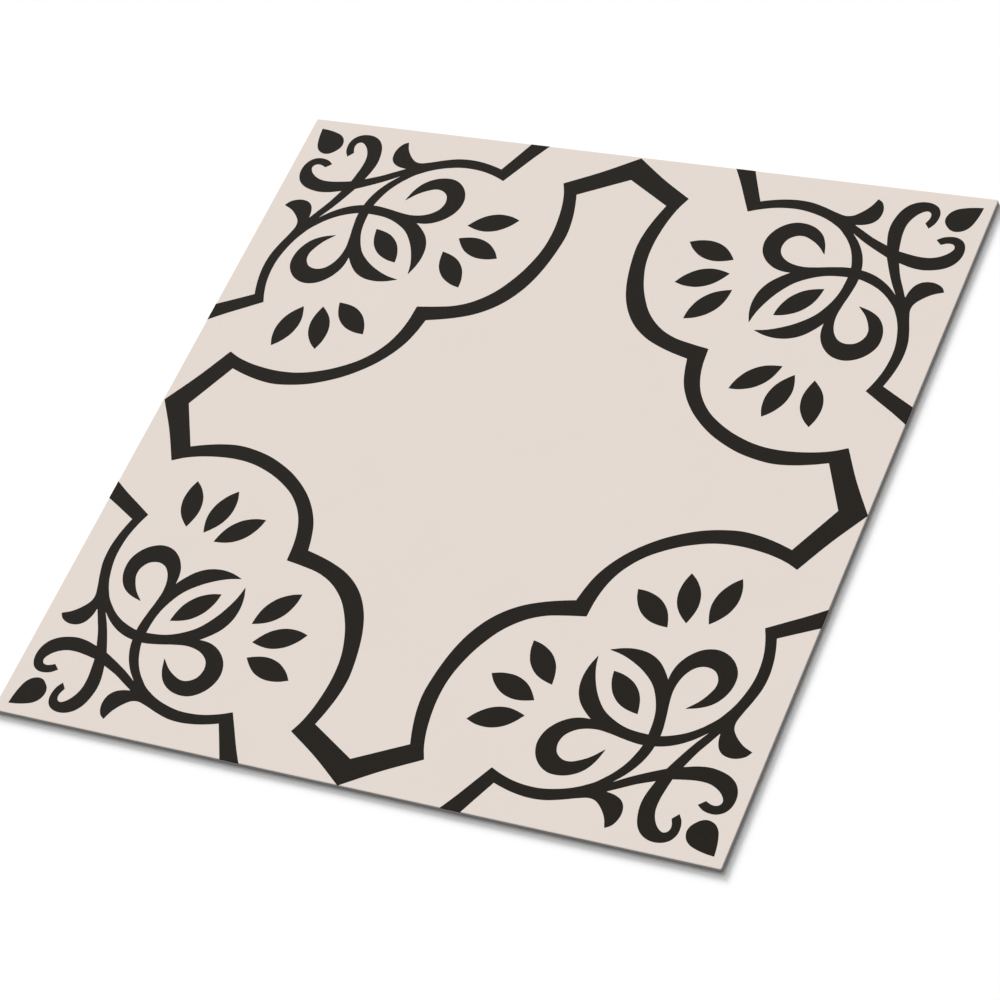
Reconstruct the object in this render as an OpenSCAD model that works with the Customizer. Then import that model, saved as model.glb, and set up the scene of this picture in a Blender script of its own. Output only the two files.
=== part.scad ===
// Square vinyl floor tile: one die-cut sheet, printed face up, lying flat.
// The origin is the middle of the back. X and Y run along the cut edges, Z is up.

/* [Sheet] */
// Side of the square tile, from cut edge to cut edge
tile_side = 300; // [150:1:600]
// Gauge of the sheet, from its back to its printed face
tile_gauge = 2; // [1.5:0.1:5]

/* [Cut edges] */
// Radius that the cutting die rolls over the rim of the printed face
rim_round = 0.3; // [0.1:0.05:0.7]
// Radius of the four upright corners, left by the corners of the die
corner_round = 0.8; // [0.75:0.05:3]

/* [Hidden] */
$fn = 64;
// Length of the straight stretch of each cut edge, between its two corners
straight_run = tile_side - 2 * corner_round;

// Section of the sheet's border, from the straight run's edge out to the cut face.
// The back keeps its sharp corner, and the face rolls over into the cut.
module border_section() {
    square([corner_round, tile_gauge - rim_round]);
    square([corner_round - rim_round, tile_gauge]);
    translate([corner_round - rim_round, tile_gauge - rim_round])
        circle(r = rim_round);
}

// One straight border, drawn along +X's cut edge
module straight_border() {
    translate([straight_run / 2, straight_run / 2, 0])
        rotate([90, 0, 0])
            linear_extrude(height = straight_run)
                border_section();
}

// One corner of the border, between the cut edges of +X and +Y
module corner_border() {
    translate([straight_run / 2, straight_run / 2, 0])
        rotate_extrude(angle = 90)
            border_section();
}

// The whole tile: the flat field, with the border run round its four sides
module vinyl_tile() {
    color([0.79, 0.73, 0.67])
    union() {
        translate([-straight_run / 2, -straight_run / 2, 0])
            cube([straight_run, straight_run, tile_gauge]);
        for (quarter = [0 : 3])
            rotate([0, 0, 90 * quarter]) {
                straight_border();
                corner_border();
            }
    }
}

vinyl_tile();
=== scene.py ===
# Square vinyl floor tile, printed with a traditional scrolled medallion, lying face up on a pale floor.
# Lengths are metres in the tile's own frame, apart from the print's drawing, which is in millimetres.
import math

import bpy
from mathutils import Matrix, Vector
from mathutils.geometry import delaunay_2d_cdt


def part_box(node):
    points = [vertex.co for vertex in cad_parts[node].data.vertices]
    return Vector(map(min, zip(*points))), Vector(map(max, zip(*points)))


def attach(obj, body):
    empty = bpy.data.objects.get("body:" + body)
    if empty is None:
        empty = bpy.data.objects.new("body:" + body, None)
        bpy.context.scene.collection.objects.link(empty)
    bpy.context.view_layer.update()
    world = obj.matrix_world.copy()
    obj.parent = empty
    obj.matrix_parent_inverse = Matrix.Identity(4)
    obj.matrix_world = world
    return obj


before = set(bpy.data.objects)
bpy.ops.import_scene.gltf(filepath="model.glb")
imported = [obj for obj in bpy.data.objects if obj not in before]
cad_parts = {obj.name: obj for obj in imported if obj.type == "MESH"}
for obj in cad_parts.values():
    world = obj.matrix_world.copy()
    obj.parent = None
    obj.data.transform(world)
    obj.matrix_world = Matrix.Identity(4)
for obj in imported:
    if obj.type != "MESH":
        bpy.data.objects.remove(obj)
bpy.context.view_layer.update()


# Camera
# A long lens looks down on the tile from beyond its nearest corner, turned about its own axis
# so that the tile stands askew in a square picture and fills it.
camera_aim = Vector((0.0098, -0.0202, 0.0020))
camera_distance = 1.271
camera_azimuth = math.radians(43.09)  # from -Y round towards +X
camera_elevation = math.radians(48.99)
camera_roll = math.radians(-25.44)
camera_lens = 123.05
camera_sensor = 36.0


def seen_from(azimuth, elevation):
    """The unit vector from the aim towards a camera or lamp at this azimuth and elevation."""
    level = math.cos(elevation)
    return Vector((level * math.sin(azimuth), -level * math.cos(azimuth), math.sin(elevation)))


camera_data = bpy.data.cameras.new("camera")
camera_data.lens = camera_lens
camera_data.sensor_width = camera_sensor
camera = bpy.data.objects.new("camera", camera_data)
bpy.context.scene.collection.objects.link(camera)
towards_camera = seen_from(camera_azimuth, camera_elevation)
camera.location = camera_aim + towards_camera * camera_distance
camera.rotation_euler = (-towards_camera).to_track_quat("-Z", "Y").to_euler()
camera.rotation_euler.rotate_axis("Z", camera_roll)
bpy.context.scene.camera = camera


# Vinyl sheet
# One layer of filled vinyl, calendered flat, printed cream on its face under a satin wear surface,
# and die-cut square. The die rolls the printed face over at its rim and leaves the core bare below it.
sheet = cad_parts["vinyl_tile"]
sheet_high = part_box("vinyl_tile")[1]
half_side = sheet_high[0]
face_height = sheet_high[2]
rim_round = 0.0003
highlight_drop = rim_round / 10  # from this far below the face the rim is painted paler, a painted highlight
core_ends, highlight_holds = 0.35, 0.50  # shares of the way up the rolled rim, from bare core to the painted highlight
print_cream = (0.754, 0.679, 0.624)
print_pale = (0.768, 0.693, 0.638)
# painted highlight: a paler cream laid on the rolled rim to lighten it where it turns away from the lamps
painted_rim_highlight = (0.850, 0.780, 0.725)
core_grey = (0.330, 0.312, 0.296)
core_chalk = (0.455, 0.437, 0.418)
back_grey = (0.365, 0.352, 0.338)
back_shade = (0.325, 0.313, 0.300)
emboss_cell = 1 / 1150  # the wear surface's orange-peel pebbles are a little under a millimetre wide
emboss_depth = 0.000012
haze_depth = emboss_depth / 4
drag_depth = 0.00003
cloth_depth = 0.00002
satin_gloss = 0.12
matte_gloss = 0.30
satin_roughness = 0.45
satin_drift = 0.05  # how far the satin's roughness wanders either way
core_roughness = 0.72
back_roughness = 0.78
cloud_patches = 28  # patches to a metre, as in all these
sheen_patches = 300
screen_patches = 1900
haze_patches = 5200
chalk_patches = 3400
drag_patches = 2600
mottle_patches = 140
cloth_patches = 1500


def new_material(name, roughness):
    """A material with a bare Principled shader and the object's own coordinates, in metres."""
    material = bpy.data.materials.new(name)
    material.use_nodes = True
    tree = material.node_tree
    shader = tree.nodes["Principled BSDF"]
    shader.inputs["Roughness"].default_value = roughness
    place = tree.nodes.new("ShaderNodeTexCoord").outputs["Object"]
    return material, tree, shader, place


def grain(tree, place, scale, detail=2.0, stretch=(1, 1, 1)):
    """Cloudy noise from 0 to 1, this many patches to a metre, drawn out along an axis by stretch."""
    squeeze = tree.nodes.new("ShaderNodeMapping")
    squeeze.inputs["Scale"].default_value = stretch
    noise = tree.nodes.new("ShaderNodeTexNoise")
    noise.inputs["Scale"].default_value = scale
    noise.inputs["Detail"].default_value = detail
    tree.links.new(place, squeeze.inputs["Vector"])
    tree.links.new(squeeze.outputs["Vector"], noise.inputs["Vector"])
    return noise.outputs["Fac"]


def ramp(tree, value, stops):
    """Colours along a value: stops are (value, colour)."""
    node = tree.nodes.new("ShaderNodeValToRGB")
    while len(node.color_ramp.elements) < len(stops):
        node.color_ramp.elements.new(1.0)
    for element, (position, colour) in zip(node.color_ramp.elements, stops):
        element.position = position
        element.color = (*colour, 1.0)
    tree.links.new(value, node.inputs["Fac"])
    return node.outputs["Color"]


def span(tree, value, low, high):
    """The value, from 0 to 1, spread from low to high."""
    node = tree.nodes.new("ShaderNodeMapRange")
    node.inputs["To Min"].default_value = low
    node.inputs["To Max"].default_value = high
    tree.links.new(value, node.inputs["Value"])
    return node.outputs["Result"]


def relief(tree, height, depth, below=None):
    """A bump of this depth in metres from a height of 0 to 1, laid over the bump below it."""
    bump = tree.nodes.new("ShaderNodeBump")
    bump.inputs["Distance"].default_value = depth
    tree.links.new(height, bump.inputs["Height"])
    if below:
        tree.links.new(below, bump.inputs["Normal"])
    return bump.outputs["Normal"]


def wear_surface(tree, shader, place):
    """The embossed satin surface that lies over cream and ink alike: pebbles, with a finer haze on them."""
    pebbles = tree.nodes.new("ShaderNodeTexVoronoi")
    pebbles.feature = "SMOOTH_F1"
    pebbles.inputs["Scale"].default_value = 1 / emboss_cell
    tree.links.new(place, pebbles.inputs["Vector"])
    pebbled = relief(tree, pebbles.outputs["Distance"], emboss_depth)
    hazed = relief(tree, grain(tree, place, haze_patches), haze_depth, pebbled)
    tree.links.new(hazed, shader.inputs["Normal"])
    sheen = grain(tree, place, sheen_patches)
    wander = span(tree, sheen, satin_roughness - satin_drift, satin_roughness + satin_drift)
    tree.links.new(wander, shader.inputs["Roughness"])
    shader.inputs["Specular IOR Level"].default_value = satin_gloss


def climb(tree, place, drop):
    """From 0, this many metres below the face, to 1 on the face."""
    parts = tree.nodes.new("ShaderNodeSeparateXYZ")
    node = tree.nodes.new("ShaderNodeMapRange")
    node.inputs["From Min"].default_value = face_height - drop
    node.inputs["From Max"].default_value = face_height
    tree.links.new(place, parts.inputs["Vector"])
    tree.links.new(parts.outputs["Z"], node.inputs["Value"])
    return node.outputs["Result"]


def printed_cream():
    """The cream ground of the print: even, with a faint cloudiness and the fine screen of the press.

    Over the rolled rim it is painted paler, a painted highlight against the rim's shading, and lower down it
    gives way to the core.
    """
    material, tree, shader, place = new_material("printed_cream", satin_roughness)
    cloud = grain(tree, place, cloud_patches, 3.0)
    screen = grain(tree, place, screen_patches)
    both = tree.nodes.new("ShaderNodeMix")
    both.inputs["Factor"].default_value = 0.5
    tree.links.new(cloud, both.inputs["A"])
    tree.links.new(screen, both.inputs["B"])
    ground = ramp(tree, both.outputs["Result"], [(0.3, print_cream), (0.7, print_pale)])
    # Painted highlight on the rolled rim: grey core low on the rim, a paler cream above it, the plain print
    # on the face.
    drawn = ramp(tree, climb(tree, place, rim_round), [(core_ends, core_grey), (highlight_holds, painted_rim_highlight)])
    rim = tree.nodes.new("ShaderNodeMixRGB")
    tree.links.new(climb(tree, place, highlight_drop), rim.inputs["Fac"])
    tree.links.new(drawn, rim.inputs["Color1"])
    tree.links.new(ground, rim.inputs["Color2"])
    tree.links.new(rim.outputs["Color"], shader.inputs["Base Color"])
    wear_surface(tree, shader, place)
    return material


def cut_core():
    """The bare core in the cut edge: grey vinyl full of chalk, with the die's upright drag marks."""
    material, tree, shader, place = new_material("cut_core", core_roughness)
    chalk = grain(tree, place, chalk_patches, 3.0)
    tree.links.new(ramp(tree, chalk, [(0.35, core_grey), (0.72, core_chalk)]), shader.inputs["Base Color"])
    drag = grain(tree, place, drag_patches, 2.0, (1, 1, 0.12))
    tree.links.new(relief(tree, drag, drag_depth), shader.inputs["Normal"])
    shader.inputs["Specular IOR Level"].default_value = matte_gloss
    return material


def calendered_back():
    """The back: matte grey vinyl with the fine cloth-like grain that the calender leaves for the glue."""
    material, tree, shader, place = new_material("calendered_back", back_roughness)
    mottle = grain(tree, place, mottle_patches, 4.0)
    tree.links.new(ramp(tree, mottle, [(0.3, back_shade), (0.7, back_grey)]), shader.inputs["Base Color"])
    warp = grain(tree, place, cloth_patches, 1.0, (1, 0.2, 1))
    weft = grain(tree, place, cloth_patches, 1.0, (0.2, 1, 1))
    cloth = relief(tree, weft, cloth_depth, relief(tree, warp, cloth_depth))
    tree.links.new(cloth, shader.inputs["Normal"])
    shader.inputs["Specular IOR Level"].default_value = matte_gloss
    return material


sheet.material_slots[0].material = printed_cream()
for bare in (cut_core(), calendered_back()):
    sheet.data.materials.append(bare)
for face in sheet.data.polygons:
    if face.center.z < face_height - rim_round:
        face.material_index = 2 if face.normal.z < -0.5 else 1


# Medallion band
# A broad band of near-black ink that runs round the middle of the tile: four lobes with pointed
# ends at the middles of the edges, meeting in cusps on the diagonals. Screened on in one thin film.
# The print is drawn in millimetres from a corner of the tile: u along one edge, v along the other.
millimetre = 0.001
print_half = half_side / millimetre
rim_roll = rim_round / millimetre
rim_bends = 6  # creases that carry the film round the rolled rim
ink_film = 0.020  # how far the film stands proud of the face
ink_bite = 0.005  # how far the film's underside keys into the face
ink_creep = 0.08  # how far the wet ink runs out past the screen's edge
print_run = 0.9983  # the press runs the print this much smaller than it is drawn
print_drift = (0.34, -0.39)  # and its middle stands this far from the middle of the cut tile
ink_black = (0.0088, 0.0069, 0.0045)
ink_worn = (0.0114, 0.0090, 0.0064)
ink_patches = 900
curve_step = 0.5  # between the points that a drawn curve is made of
weld_gap = 0.00001  # points of the drawing that are closer than this are one
inside_only = 1  # the joining of outlines keeps only what lies inside them

cusp_outer, cusp_inner = (86.9, 87.6), (93.4, 93.4)
shoulder_outer, shoulder_inner = (122.5, 17.4), (130.2, 22.2)
shoulder_bend = (136.2, 9.4)
point_outer, point_inner = (150.0, 0.1), (150.0, 11.4)
band_outer = [(95.0, 86.3), (101.5, 84.9), (107.5, 82.4), (112.8, 78.7), (117.2, 74.2), (120.7, 69.0),
              (123.5, 63.7), (125.6, 58.3), (127.0, 53.5), (127.9, 48.0), (128.1, 41.0), (127.4, 33.5),
              (126.2, 27.2), (124.6, 22.0)]
# The lobes that point along Y are a little fuller in the curve than those that point along X.
band_inner_full = [(132.0, 28.0), (133.7, 35.5), (134.4, 43.0), (133.8, 50.0), (132.5, 57.5), (130.7, 64.3),
                   (128.0, 71.0), (123.8, 77.7), (118.8, 82.9), (112.4, 87.2), (105.2, 90.2), (99.2, 92.0)]
band_inner_slim = [(132.0, 28.0), (133.7, 35.5), (134.4, 43.0), (133.7, 50.0), (132.0, 57.5), (129.5, 64.0),
                   (126.2, 70.5), (121.9, 76.7), (116.7, 82.4), (110.7, 87.1), (105.0, 90.2), (99.2, 92.1)]


def blend(p, q, a, b, t):
    """The point between p, reached at a, and q, reached at b, at t."""
    return tuple((r * (b - t) + s * (t - a)) / (b - a) for r, s in zip(p, q))


def flow(*points):
    """A smooth run through these points in short steps: a centripetal Catmull-Rom curve."""
    before = tuple(2 * a - b for a, b in zip(points[0], points[1]))
    after = tuple(2 * a - b for a, b in zip(points[-1], points[-2]))
    path = [before, *points, after]
    run = [points[0]]
    for p0, p1, p2, p3 in zip(path, path[1:], path[2:], path[3:]):
        t0 = 0.0
        t1 = t0 + math.sqrt(math.dist(p0, p1))
        t2 = t1 + math.sqrt(math.dist(p1, p2))
        t3 = t2 + math.sqrt(math.dist(p2, p3))
        steps = max(1, round(math.dist(p1, p2) / curve_step))
        for step in range(1, steps + 1):
            t = t1 + (t2 - t1) * step / steps
            near = blend(blend(p0, p1, t0, t1, t), blend(p1, p2, t1, t2, t), t0, t2, t)
            far = blend(blend(p1, p2, t1, t2, t), blend(p2, p3, t2, t3, t), t1, t3, t)
            run.append(blend(near, far, t1, t2, t))
    return run


def outline(*bends):
    """One closed outline of smooth bends, with a sharp corner at the end of each.

    A bend is a list of points, and it starts from the last point of the bend before it.
    """
    shape = []
    for before, bend in zip(bends[-1:] + bends[:-1], bends):
        shape += flow(before[-1], *bend)[:-1]
    return shape


def crossed(shape):
    """The shape in the mirror of the corner's diagonal."""
    return [(v, u) for u, v in shape]


def at_corners(shape):
    """The shape set out in all four corners of the tile, in millimetres from its middle."""
    return [[(east * (print_half - u), north * (print_half - v)) for u, v in shape]
            for east in (-1, 1) for north in (-1, 1)]


def counter_clockwise(shape):
    """The shape, turned about if it runs clockwise."""
    area = sum(x0 * y1 - x1 * y0 for (x0, y0), (x1, y1) in zip(shape, shape[1:] + shape[:1]))
    return shape if area > 0 else shape[::-1]


def pressed(shape):
    """The counter-clockwise shape where the press prints it, its edge moved out by the ink's creep."""
    left = []
    for (x0, y0), (x, y), (x1, y1) in zip(shape[-1:] + shape[:-1], shape, shape[1:] + shape[:1]):
        along = Vector((x1 - x0, y1 - y0)).normalized() * ink_creep
        left.append((x * print_run + print_drift[0] + along.y, y * print_run + print_drift[1] - along.x))
    return left


def lay(x, y, lift):
    """The place of a point of the print, in metres, this many millimetres off the face or its rolled rim."""
    inset = print_half - max(abs(x), abs(y))
    lean = math.asin(min(1.0, max(0.0, 1 - inset / rim_roll)))
    drop = rim_roll * (1 - math.cos(lean))
    out = lift * math.sin(lean)
    if abs(x) > abs(y):
        x += math.copysign(out, x)
    else:
        y += math.copysign(out, y)
    return Vector((x * millimetre, y * millimetre, face_height + (lift * math.cos(lean) - drop) * millimetre))


def rim_creases():
    """Squares round the print where the film bends to follow the rim, the last one where the die cuts it."""
    corners, sides = [], []
    for bend in range(rim_bends + 1):
        inset = rim_roll * (1 - math.sin(math.radians(90) * bend / rim_bends))
        reach = print_half - inset
        corners += [(-reach, -reach), (reach, -reach), (reach, reach), (-reach, reach)]
        sides += [(4 * bend + side, 4 * bend + (side + 1) % 4) for side in range(4)]
    return corners, sides


def joined(shapes):
    """Flat triangles over what these outlines cover of the tile: the corners, and each triangle's three."""
    points, sides = rim_creases()
    loops = []
    for shape in shapes:
        loops.append([len(points) + step for step in range(len(shape))])
        points += pressed(counter_clockwise(shape))
    places = [Vector(point) for point in points]
    corners, _, found, _, _, covers = delaunay_2d_cdt(places, sides, loops, inside_only, weld_gap, True)
    triangles = []
    for triangle, covered_by in zip(found, covers):
        middle = sum((corners[corner] for corner in triangle), Vector((0, 0))) / 3
        if covered_by and max(abs(middle.x), abs(middle.y)) < print_half:
            triangles.append(triangle)
    used = sorted({corner for triangle in triangles for corner in triangle})
    renumbered = {corner: number for number, corner in enumerate(used)}
    return [corners[corner] for corner in used], [[renumbered[corner] for corner in t] for t in triangles]


def screened(name, shapes):
    """One piece of ink: a closed film over everything that these outlines cover."""
    points, triangles = joined(shapes)
    top = [lay(point.x, point.y, ink_film) for point in points]
    under = [lay(point.x, point.y, -ink_bite) for point in points]
    edges = {(t[k], t[(k + 1) % 3]) for t in triangles for k in range(3)}
    walls = [(a, len(points) + a, len(points) + b, b) for a, b in edges if (b, a) not in edges]
    soles = [[len(points) + corner for corner in reversed(t)] for t in triangles]
    mesh = bpy.data.meshes.new(name)
    mesh.from_pydata(top + under, [], triangles + soles + walls)
    mesh.materials.append(bpy.data.materials.get("print_ink") or print_ink())
    piece = bpy.data.objects.new(name, mesh)
    bpy.context.scene.collection.objects.link(piece)
    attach(piece, "root")


def print_ink():
    """Near-black ink under the same satin wear surface, a shade thinner here and there."""
    material, tree, shader, place = new_material("print_ink", satin_roughness)
    thinning = grain(tree, place, ink_patches, 3.0)
    tree.links.new(ramp(tree, thinning, [(0.35, ink_black), (0.75, ink_worn)]), shader.inputs["Base Color"])
    wear_surface(tree, shader, place)
    return material


def half_lobe(cusp, inner):
    """One eighth of the band, from this outer cusp to the point at the middle of an edge."""
    return outline(
        [*band_outer, shoulder_outer],
        [shoulder_bend, point_outer],
        [point_inner],
        [shoulder_inner],
        [*inner, cusp_inner],
        [cusp])


screened("printed_medallion",
         at_corners(half_lobe(cusp_outer, band_inner_full))
         + at_corners(crossed(half_lobe(cusp_outer[::-1], band_inner_slim))))


# Corner sprays
# In each corner a vine of the same ink branches both ways from the diagonal: two curled tendrils, two stems
# that swell into flare leaves and frame arcs, and two spines that cross and end in scrolls and sepals.
# The arcs turn at their outer ends into bars, which are drawn past the edge, where the die cuts them.
past_edge = -1.0
fork = [(60.9, 20.1), (56.7, 22.7), (52.6, 26.6)]  # the edge along which arc and spine grow apart
tendril = outline(
    [(20.7, 14.9), (20.0, 12.0), (20.2, 9.4), (21.6, 6.9), (24.0, 5.4), (27.0, 4.9), (30.1, 5.4),
     (33.1, 7.1), (35.3, 9.9), (36.6, 13.4), (37.3, 18.0), (36.9, 22.4), (35.4, 28.0)],
    [(33.5, 33.5)],
    [(32.2, 36.2), (29.7, 41.1), (27.2, 45.6), (24.0, 50.6)],
    [(22.5, 53.0)],
    [(20.2, 51.1)],
    [(22.5, 46.9), (25.2, 42.0), (28.1, 35.3)],
    [(30.0, 29.9)],
    [(30.8, 25.6), (31.4, 21.0), (31.2, 16.6), (29.9, 13.1), (27.7, 10.3), (25.4, 9.1), (23.8, 9.8),
     (23.2, 11.4), (23.5, 13.2), (24.3, 15.0)],
    [(22.3, 17.3)])
frame_arc = outline(
    [(48.2, 10.2), (51.4, 14.0), (54.0, 15.8), (56.6, 16.2), (60.6, 15.2), (66.5, 13.2), (72.0, 11.8),
     (78.0, 11.4), (84.0, 12.0), (89.0, 13.1), (93.0, 14.3)],
    [(96.3, 8.0), (100.4, 0.0), (100.9, past_edge)],
    [(109.1, past_edge)],
    [(108.4, 0.0), (104.3, 6.3), (100.2, 13.2), (96.2, 19.9)],
    [(92.0, 18.2), (86.0, 16.5), (80.0, 15.8), (74.0, 16.0), (66.0, 17.9), *fork],
    [(50.6, 24.0)],
    [(51.1, 19.9)],
    [(48.0, 19.4), (45.1, 18.1), (43.3, 16.0), (42.6, 13.0), (43.0, 10.2), (44.4, 7.6), (46.4, 6.2)])
spine = outline(
    [(50.6, 24.2), (47.0, 28.2), (44.1, 32.6), (42.2, 37.0), (41.2, 41.4), (40.8, 46.7), (41.6, 53.3),
     (42.6, 58.7), (43.2, 64.4), (42.5, 69.1), (41.0, 72.5), (38.3, 75.3), (34.8, 76.3), (31.0, 75.2),
     (28.8, 72.2), (28.5, 69.2), (29.7, 65.9), (32.1, 62.1), (36.0, 58.2)],
    [(30.8, 59.8), (26.8, 62.2), (24.0, 65.8), (22.5, 70.2), (22.6, 75.2), (24.7, 79.3), (28.3, 82.4),
     (33.2, 83.9), (38.4, 82.9), (42.6, 79.8), (45.4, 75.6), (46.5, 71.8), (46.7, 68.2)],
    [(49.3, 71.6), (52.8, 75.0), (57.3, 77.3), (62.7, 78.1), (67.7, 77.5), (72.5, 75.9)],
    [(68.0, 75.0), (62.9, 73.1), (57.1, 69.9), (51.4, 65.0), (47.8, 59.0), (46.0, 53.8), (45.3, 48.0),
     (45.4, 41.4), (46.8, 36.3), (49.0, 31.5), *fork[::-1]],
    [(54.4, 20.0)])
spray = [tendril, frame_arc, spine]
screened("printed_corner_sprays",
         [copy for stroke in spray for side in (stroke, crossed(stroke)) for copy in at_corners(side)])


# Buds
# A solid teardrop in each corner, its point towards the corner, between the curls of the two tendrils.
# It is a film of the same ink, screened on with the sprays.
bud_point, bud_crown = (4.4, 4.4), (15.4, 15.4)
bud_side = [(8.0, 4.8), (11.6, 5.6), (14.4, 6.7), (16.4, 8.6), (17.3, 11.4), (16.8, 13.6)]
bud = outline([*bud_side, bud_crown, *crossed(bud_side[::-1]), bud_point])
screened("printed_buds", at_corners(bud))


# Eye leaves
# A pointed leaf on each diagonal, held between the two sepals, its tip towards the middle of the tile.
# It too is screened on with the sprays, in the same ink, so it sits true between them.
leaf_side = [(-10.8, 0.0), (-8.5, 1.6), (-6.0, 3.0), (-3.5, 3.9), (-0.5, 4.3), (2.5, 4.1), (5.5, 3.2),
             (8.0, 2.0), (10.8, 0.0)]


def leaf(u, v, slant):
    """The leaf about this middle, its tip turned this many degrees from the way of u to that of v."""
    near_side = flow(*leaf_side)
    far_side = [(along, -across) for along, across in reversed(near_side)]
    cosine, sine = math.cos(math.radians(slant)), math.sin(math.radians(slant))
    return [(u + along * cosine - across * sine, v + along * sine + across * cosine)
            for along, across in near_side[:-1] + far_side[:-1]]


screened("printed_eye_leaves", at_corners(leaf(60.0, 60.0, 45)))


# Petals
# Three more of the same leaf, loose, fan out on each side of every spray. Their ink comes from a screen of
# its own, which sits out of register: all stand low and left, in two opposite corners less low than in
# the others, and the fans beside the lobes along Y sit back from those beside the lobes along X.
petal_drift = (-1.1, -0.65)
petal_skew = 0.25  # up in the corners where X and Y agree in sign, down in the others
fan_back = [leaf(102.3, 40.8, -15.8), leaf(101.1, 54.3, 20.0), leaf(94.1, 66.4, 49.3)]
fan_forward = [leaf(105.0, 37.0, -13.9), leaf(103.7, 51.0, 15.6), leaf(96.9, 62.7, 51.3)]
petals = [petal for back, forward in zip(fan_back, fan_forward)
          for petal in at_corners(back) + at_corners(crossed(forward))]


def drifted(petal):
    """The petal where its own screen prints it."""
    rise = math.copysign(petal_skew, petal[0][0] * petal[0][1])
    return [(x + petal_drift[0], y + petal_drift[1] + rise) for x, y in petal]


screened("printed_petals", [drifted(petal) for petal in petals])


# Floor and light
# A white studio floor, an even white sky, and two soft lamps behind the farthest corner, a small low one
# and a broad high one, which lay the tile's short soft shadow along its two near edges. The satin surface
# mirrors the sky alone. Together they light a level face at about 1, so a colour renders as it is written.
floor_reach = 4.0
floor_gap = 0.00002  # air between the floor and the tile's back
floor_bounce = 0.80  # of the light that falls on it
sky_share = 0.235  # of the light on a level face
low_lamp = {"share": 0.36, "elevation": 22.5, "spread": 15.5}
high_lamp = {"share": 0.41, "elevation": 38, "spread": 56}
lamp_azimuth = math.radians(225)


def seen_directly(tree):
    """1 for what the camera sees, also in a reflection or through glass, and 0 for light on its way."""
    path = tree.nodes.new("ShaderNodeLightPath")
    total = path.outputs["Is Camera Ray"]
    for kind in ("Is Glossy Ray", "Is Transmission Ray"):
        either = tree.nodes.new("ShaderNodeMath")
        either.operation = "MAXIMUM"
        tree.links.new(total, either.inputs[0])
        tree.links.new(path.outputs[kind], either.inputs[1])
        total = either.outputs[0]
    return total


floor_material, floor_tree, floor_shader, _ = new_material("studio_floor", 1.0)
floor_shader.inputs["Specular IOR Level"].default_value = 0.0
floor_white = ramp(floor_tree, seen_directly(floor_tree), [(0.0, (floor_bounce,) * 3), (1.0, (1.0,) * 3)])
floor_tree.links.new(floor_white, floor_shader.inputs["Base Color"])
floor_mesh = bpy.data.meshes.new("floor")
floor_corners = [(east * floor_reach, north * floor_reach, -floor_gap)
                 for east, north in ((-1, -1), (1, -1), (1, 1), (-1, 1))]
floor_mesh.from_pydata(floor_corners, [], [(0, 1, 2, 3)])
floor_mesh.materials.append(floor_material)
floor = bpy.data.objects.new("floor", floor_mesh)
bpy.context.scene.collection.objects.link(floor)

world = bpy.data.worlds.new("sky")
world.use_nodes = True
sky = world.node_tree.nodes["Background"]
sky.inputs["Color"].default_value = (1.0, 1.0, 1.0, 1.0)
sky_level = span(world.node_tree, seen_directly(world.node_tree), sky_share, 1.0)
world.node_tree.links.new(sky_level, sky.inputs["Strength"])
bpy.context.scene.world = world


def soft_lamp(name, share, elevation, spread):
    """A far lamp, this many degrees up and across, that gives a level surface this share of its light."""
    data = bpy.data.lights.new(name, "SUN")
    data.energy = share * math.pi / math.sin(math.radians(elevation))
    data.angle = math.radians(spread)
    lamp = bpy.data.objects.new(name, data)
    towards_lamp = seen_from(lamp_azimuth, math.radians(elevation))
    lamp.rotation_euler = (-towards_lamp).to_track_quat("-Z", "Y").to_euler()
    lamp.visible_glossy = False
    bpy.context.scene.collection.objects.link(lamp)


soft_lamp("low_lamp", **low_lamp)
soft_lamp("high_lamp", **high_lamp)
bpy.context.scene.view_settings.view_transform = "Standard"
